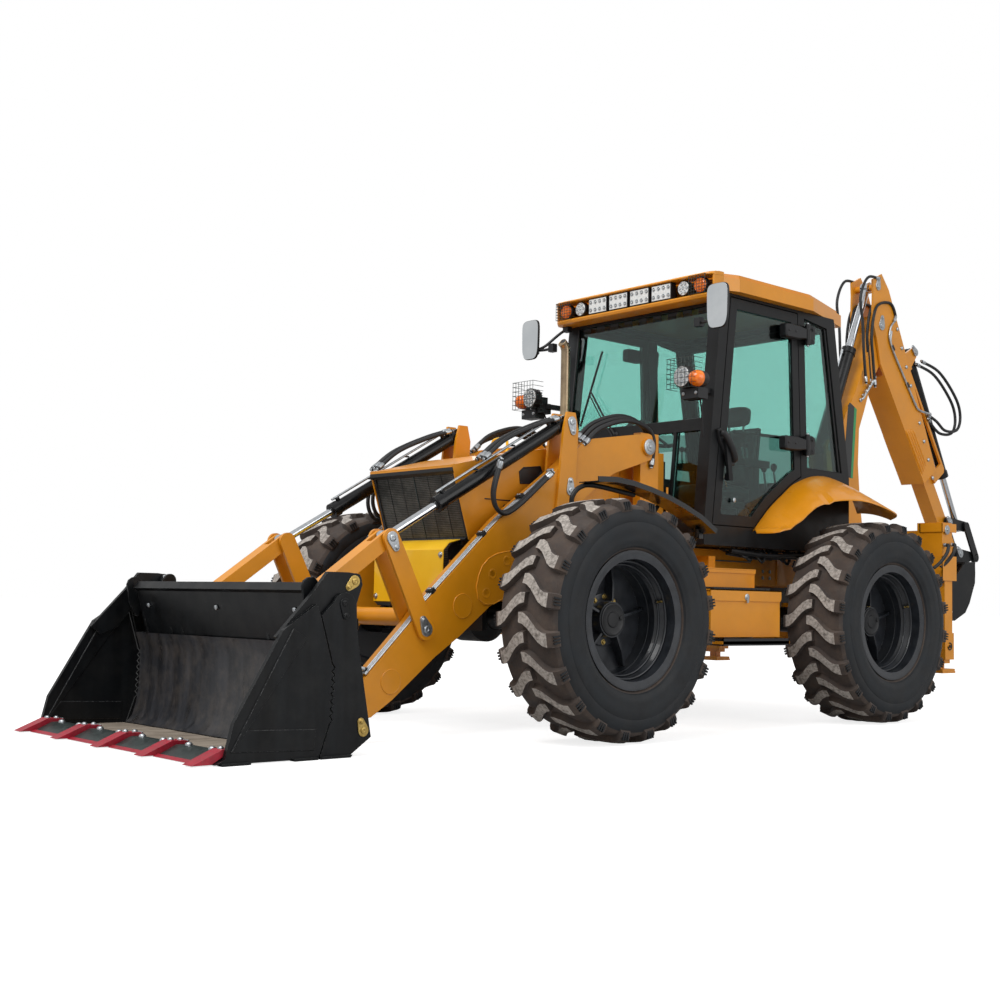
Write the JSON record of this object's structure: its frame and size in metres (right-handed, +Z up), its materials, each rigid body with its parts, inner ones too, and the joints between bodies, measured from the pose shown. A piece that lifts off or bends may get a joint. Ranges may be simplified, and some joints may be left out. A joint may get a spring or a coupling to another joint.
{
  "type": "backhoe loader",
  "caption": "Backhoe loader: clam loader bucket on two lift arms, cab over equal large wheels, side-shift backhoe and stabiliser legs behind.",
  "frame": {"origin": "middle of the footprint on the ground", "axes": "+X to the left of the machine, +Y to its rear, +Z up; the loader bucket faces -Y"},
  "size_m": [2.41, 7.3911, 3.1355],
  "materials": {
    "yellow_paint": "satin",
    "black_paint": "satin",
    "black_barrels": "gloss",
    "chrome_rod": "polished",
    "tooth_red": "worn gloss",
    "tyre_rubber": "matte",
    "rim_paint": "satin",
    "tinted_glass": "clear",
    "dark_plastic": "matte",
    "seat_vinyl": "matte",
    "engine_iron": "rough"
  },
  "bodies": {
    "chassis": {"chassis_frame": "black_paint", "loader_towers": "yellow_paint", "front_axle": "black_paint", "rear_axle": "black_paint", "front_panels": "dark_plastic", "cowl": "black_paint", "engine": "engine_iron", "cab_frame": "black_paint", "cab_roof": "yellow_paint", "cab_glass": "tinted_glass", "cab_fittings": "dark_plastic", "lamps": "dark_plastic", "mirrors": "dark_plastic", "fenders": "yellow_paint", "side_boxes": "yellow_paint", "rear_frame": "yellow_paint"},
    "knuckle_left": {"knuckle_left": "black_paint"},
    "knuckle_right": {"knuckle_right": "black_paint"},
    "hood": {"hood": "yellow_paint"},
    "seat": {"seat": "seat_vinyl"},
    "door_left": {"door_left": "black_paint", "door_left_glass": "tinted_glass"},
    "door_right": {"door_right": "black_paint", "door_right_glass": "tinted_glass"},
    "loader_arms": {"loader_arms": "yellow_paint"},
    "tilt_levers": {"tilt_levers": "yellow_paint"},
    "tilt_links": {"tilt_links": "yellow_paint"},
    "tilt_barrels": {"tilt_barrels": "black_barrels"},
    "tilt_rods": {"tilt_rods": "chrome_rod"},
    "lift_barrels": {"lift_barrels": "black_barrels"},
    "lift_rods": {"lift_rods": "chrome_rod"},
    "bucket": {"bucket_back": "black_paint"},
    "bucket_clam": {"bucket_clam": "black_paint", "bucket_teeth": "tooth_red"},
    "clam_barrels": {"clam_barrels": "black_barrels"},
    "clam_rods": {"clam_rods": "chrome_rod"},
    "hoe_carriage": {"hoe_carriage": "yellow_paint"},
    "kingpost": {"kingpost": "yellow_paint"},
    "boom": {"boom": "yellow_paint"},
    "dipper": {"dipper": "yellow_paint"},
    "dipper_slide": {"dipper_slide": "yellow_paint"},
    "dig_rocker": {"dig_rocker": "black_paint"},
    "dig_links": {"dig_links": "black_paint"},
    "dig_bucket": {"dig_bucket": "black_paint"},
    "boom_barrel": {"boom_barrel": "black_barrels"},
    "boom_rod": {"boom_rod": "chrome_rod"},
    "dipper_barrel": {"dipper_barrel": "black_barrels"},
    "dipper_rod": {"dipper_rod": "chrome_rod"},
    "dig_barrel": {"dig_barrel": "black_barrels"},
    "dig_rod": {"dig_rod_bar": "chrome_rod"},
    "stabiliser_left": {"stabiliser_left": "yellow_paint"},
    "stabiliser_right": {"stabiliser_right": "yellow_paint"},
    "wheel_front_left": {"tyre_front_left": "tyre_rubber", "rim_front_left": "rim_paint"},
    "wheel_front_right": {"tyre_front_right": "tyre_rubber", "rim_front_right": "rim_paint"},
    "wheel_rear_left": {"tyre_rear_left": "tyre_rubber", "rim_rear_left": "rim_paint"},
    "wheel_rear_right": {"tyre_rear_right": "tyre_rubber", "rim_rear_right": "rim_paint"}
  },
  "joints": [
    {"name": "wheel_front_left", "type": "hinge", "parent": "knuckle_left", "child": "wheel_front_left", "pos_m": [1, -1.4965, 0.595], "axis": [1, 0, 0], "continuous": true},
    {"name": "wheel_front_right", "type": "hinge", "parent": "knuckle_right", "child": "wheel_front_right", "pos_m": [-1, -1.4965, 0.595], "axis": [1, 0, 0], "continuous": true},
    {"name": "wheel_rear_left", "type": "hinge", "parent": "chassis", "child": "wheel_rear_left", "pos_m": [1, 0.7485, 0.595], "axis": [1, 0, 0], "continuous": true},
    {"name": "wheel_rear_right", "type": "hinge", "parent": "chassis", "child": "wheel_rear_right", "pos_m": [-1, 0.7485, 0.595], "axis": [1, 0, 0], "continuous": true},
    {"name": "steering", "type": "hinge", "parent": "chassis", "child": "knuckle_left", "pos_m": [0.74, -1.4965, 0.595], "axis": [0, 0, 1], "range_deg": [-30, 30]},
    {"name": "steering_right", "type": "hinge", "parent": "chassis", "child": "knuckle_right", "pos_m": [-0.74, -1.4965, 0.595], "axis": [0, 0, 1], "range_deg": [-30.1, 30.1]},
    {"name": "loader_lift", "type": "hinge", "parent": "chassis", "child": "loader_arms", "pos_m": [0, -0.6595, 1.559], "axis": [-1, 0, 0], "range_deg": [0, 75]},
    {"name": "bucket_tilt", "type": "hinge", "parent": "loader_arms", "child": "bucket", "pos_m": [0, -2.7665, 0.165], "axis": [1, 0, 0], "range_deg": [-40, 75]},
    {"name": "tilt_levers", "type": "hinge", "parent": "loader_arms", "child": "tilt_levers", "pos_m": [0, -2.2505, 0.531], "axis": [1, 0, 0], "range_deg": [-40.5, 75.5]},
    {"name": "tilt_links", "type": "hinge", "parent": "tilt_levers", "child": "tilt_links", "pos_m": [0, -2.4725, 0.964], "axis": [1, 0, 0], "range_deg": [-75.5, 40.5]},
    {"name": "bucket_clam", "type": "hinge", "parent": "bucket", "child": "bucket_clam", "pos_m": [0, -2.9965, 0.64], "axis": [-1, 0, 0], "range_deg": [0, 60]},
    {"name": "lift_barrel", "type": "hinge", "parent": "chassis", "child": "lift_barrels", "pos_m": [0, -0.5965, 0.83], "axis": [1, 0, 0], "range_deg": [-58.99, 0.5]},
    {"name": "lift_rod", "type": "slide", "parent": "lift_barrels", "child": "lift_rods", "axis": [0, -0.9965, -0.0841], "range_m": [-0.003, 0.78759]},
    {"name": "tilt_barrel", "type": "hinge", "parent": "loader_arms", "child": "tilt_barrels", "pos_m": [0, -1.2845, 1.637], "axis": [1, 0, 0], "range_deg": [-6.07, 10.94]},
    {"name": "tilt_rod", "type": "slide", "parent": "tilt_barrels", "child": "tilt_rods", "axis": [0, -0.8701, -0.4929], "range_m": [-0.27807, 0.51875]},
    {"name": "clam_barrel", "type": "hinge", "parent": "bucket", "child": "clam_barrels", "pos_m": [0, -2.8865, 0.122], "axis": [1, 0, 0], "range_deg": [-6.51, 0.5]},
    {"name": "clam_rod", "type": "slide", "parent": "clam_barrels", "child": "clam_rods", "axis": [0, -0.0732, 0.9973], "range_m": [-0.11435, 0.003]},
    {"name": "hoe_shift", "type": "slide", "parent": "chassis", "child": "hoe_carriage", "axis": [1, 0, 0], "range_m": [-0.56, 0.56]},
    {"name": "hoe_swing", "type": "hinge", "parent": "hoe_carriage", "child": "kingpost", "pos_m": [0, 1.9035, 0.57], "axis": [0, 0, 1], "range_deg": [-90, 90]},
    {"name": "boom", "type": "hinge", "parent": "kingpost", "child": "boom", "pos_m": [0, 2.1435, 0.6], "axis": [1, 0, 0], "range_deg": [-115, 2]},
    {"name": "dipper", "type": "hinge", "parent": "boom", "child": "dipper", "pos_m": [0, 2.3085, 2.75], "axis": [1, 0, 0], "range_deg": [-4, 110]},
    {"name": "dipper_slide", "type": "slide", "parent": "dipper", "child": "dipper_slide", "axis": [0, 0.5565, -0.8309], "range_m": [0, 0.62]},
    {"name": "dig_bucket", "type": "hinge", "parent": "dipper_slide", "child": "dig_bucket", "pos_m": [0, 3.4035, 1.115], "axis": [1, 0, 0], "range_deg": [-3, 105]},
    {"name": "dig_rocker", "type": "hinge", "parent": "dipper_slide", "child": "dig_rocker", "pos_m": [0, 3.2641, 1.35262], "axis": [1, 0, 0], "range_deg": [-3.5, 105.5]},
    {"name": "dig_links", "type": "hinge", "parent": "dig_rocker", "child": "dig_links", "pos_m": [0, 3.51615, 1.32885], "axis": [1, 0, 0], "range_deg": [-105.5, 3.5]},
    {"name": "boom_barrel", "type": "hinge", "parent": "kingpost", "child": "boom_barrel", "pos_m": [0, 1.9635, 0.8], "axis": [1, 0, 0], "range_deg": [-118.52, 2.55]},
    {"name": "boom_rod", "type": "slide", "parent": "boom_barrel", "child": "boom_rod", "axis": [0, -0.3048, 0.9524], "range_m": [-0.01084, 0.45388]},
    {"name": "dipper_barrel", "type": "hinge", "parent": "boom", "child": "dipper_barrel", "pos_m": [0, 1.6935, 1.8], "axis": [1, 0, 0], "range_deg": [-0.51, 0.89]},
    {"name": "dipper_rod", "type": "slide", "parent": "dipper_barrel", "child": "dipper_rod", "axis": [0, 0.4179, 0.9085], "range_m": [-0.4737, 0.02012]},
    {"name": "dig_barrel", "type": "hinge", "parent": "dipper_slide", "child": "dig_barrel", "pos_m": [0, 2.80523, 2.61931], "axis": [1, 0, 0], "range_deg": [-7.08, 0.69]},
    {"name": "dig_rod", "type": "slide", "parent": "dig_barrel", "child": "dig_rod", "axis": [0, 0.4825, -0.8759], "range_m": [-0.37723, 0.01369]},
    {"name": "stabiliser_left", "type": "slide", "parent": "chassis", "child": "stabiliser_left", "axis": [0, 0, -1], "range_m": [0, 0.28]},
    {"name": "stabiliser_right", "type": "slide", "parent": "chassis", "child": "stabiliser_right", "axis": [0, 0, -1], "range_m": [0, 0.28]},
    {"name": "door_left", "type": "hinge", "parent": "chassis", "child": "door_left", "pos_m": [0.66, 0.6035, 2], "axis": [0, 0, 1], "range_deg": [0, 60]},
    {"name": "door_right", "type": "hinge", "parent": "chassis", "child": "door_right", "pos_m": [-0.66, 0.6035, 2], "axis": [0, 0, -1], "range_deg": [0, 60]},
    {"name": "hood", "type": "hinge", "parent": "chassis", "child": "hood", "pos_m": [0, -0.7285, 1.58], "axis": [-1, 0, 0], "range_deg": [0, 55]},
    {"name": "seat_swivel", "type": "hinge", "parent": "chassis", "child": "seat", "pos_m": [0, 0.4735, 1.29], "axis": [0, 0, 1], "range_deg": [0, 180]}
  ],
  "couplings": [
    {"joint": "steering_right", "follows": "steering", "ratio": 1},
    {"joint": "tilt_levers", "follows": "bucket_tilt", "ratio": 1},
    {"joint": "tilt_links", "follows": "bucket_tilt", "ratio": -1},
    {"joint": "lift_barrel", "follows": "loader_lift", "ratio": -0.7799},
    {"joint": "lift_rod", "follows": "loader_lift", "m_per_rad": 0.59938},
    {"joint": "tilt_barrel", "follows": "bucket_tilt", "ratio": 0.13916},
    {"joint": "tilt_rod", "follows": "bucket_tilt", "m_per_rad": 0.394},
    {"joint": "clam_barrel", "follows": "bucket_clam", "ratio": -0.1002},
    {"joint": "clam_rod", "follows": "bucket_clam", "m_per_rad": -0.10633},
    {"joint": "dig_rocker", "follows": "dig_bucket", "ratio": 1},
    {"joint": "dig_links", "follows": "dig_bucket", "ratio": -1},
    {"joint": "boom_barrel", "follows": "boom", "ratio": 1.0262},
    {"joint": "boom_rod", "follows": "boom", "m_per_rad": -0.22464},
    {"joint": "dipper_barrel", "follows": "dipper", "ratio": 0.0035505},
    {"joint": "dipper_rod", "follows": "dipper", "m_per_rad": -0.24517},
    {"joint": "dig_barrel", "follows": "dig_bucket", "ratio": -0.062639},
    {"joint": "dig_rod", "follows": "dig_bucket", "m_per_rad": -0.20421}
  ]
}
